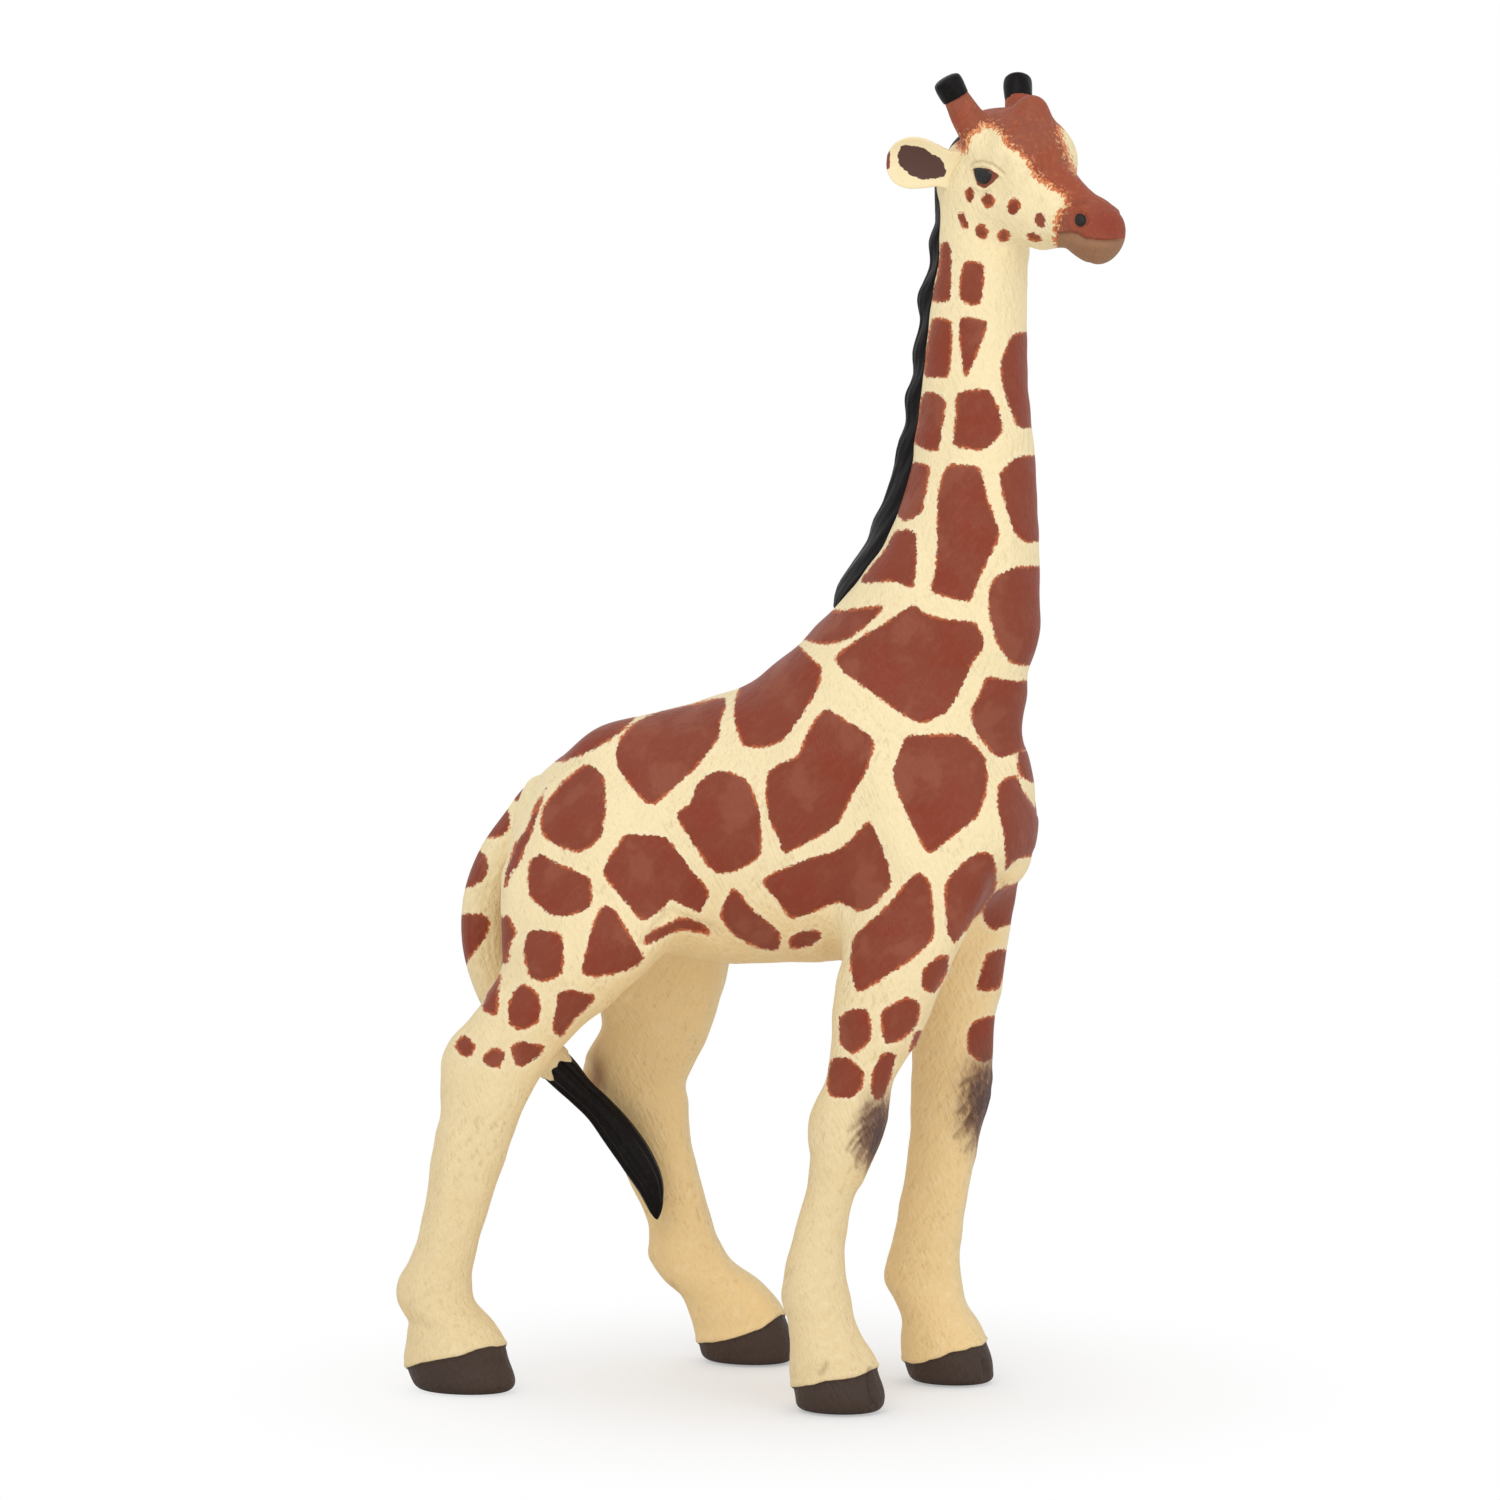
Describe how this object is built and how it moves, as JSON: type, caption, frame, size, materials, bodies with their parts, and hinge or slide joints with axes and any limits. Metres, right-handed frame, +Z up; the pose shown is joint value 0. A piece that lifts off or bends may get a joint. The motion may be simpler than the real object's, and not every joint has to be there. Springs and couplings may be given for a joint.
{
  "type": "toy giraffe figure",
  "caption": "Moulded walking giraffe figure with a painted patched coat, standing free on four flat hooves.",
  "frame": {"origin": "on the floor, under the middle of the figure's outline box", "axes": "+X toward the chest, +Y toward the animal's left side, +Z up"},
  "size_m": [0.0976, 0.0442, 0.1744],
  "materials": {
    "coat": "hand-painted matt cream with brown patches and dark brown hooves",
    "black_hair": "satin black paint",
    "tail_coat": "matt cream with brown patches, ending in a glossy black tuft"
  },
  "bodies": {
    "root": {"torso": "coat", "neck": "coat", "head": "coat", "mane": "black_hair", "right_ear": "coat", "left_ear": "coat", "right_horn_tip": "black_hair", "left_horn_tip": "black_hair", "right_front_leg": "coat", "left_front_leg": "coat", "right_hind_leg": "coat", "left_hind_leg": "coat", "tail": "tail_coat"}
  },
  "joints": []
}
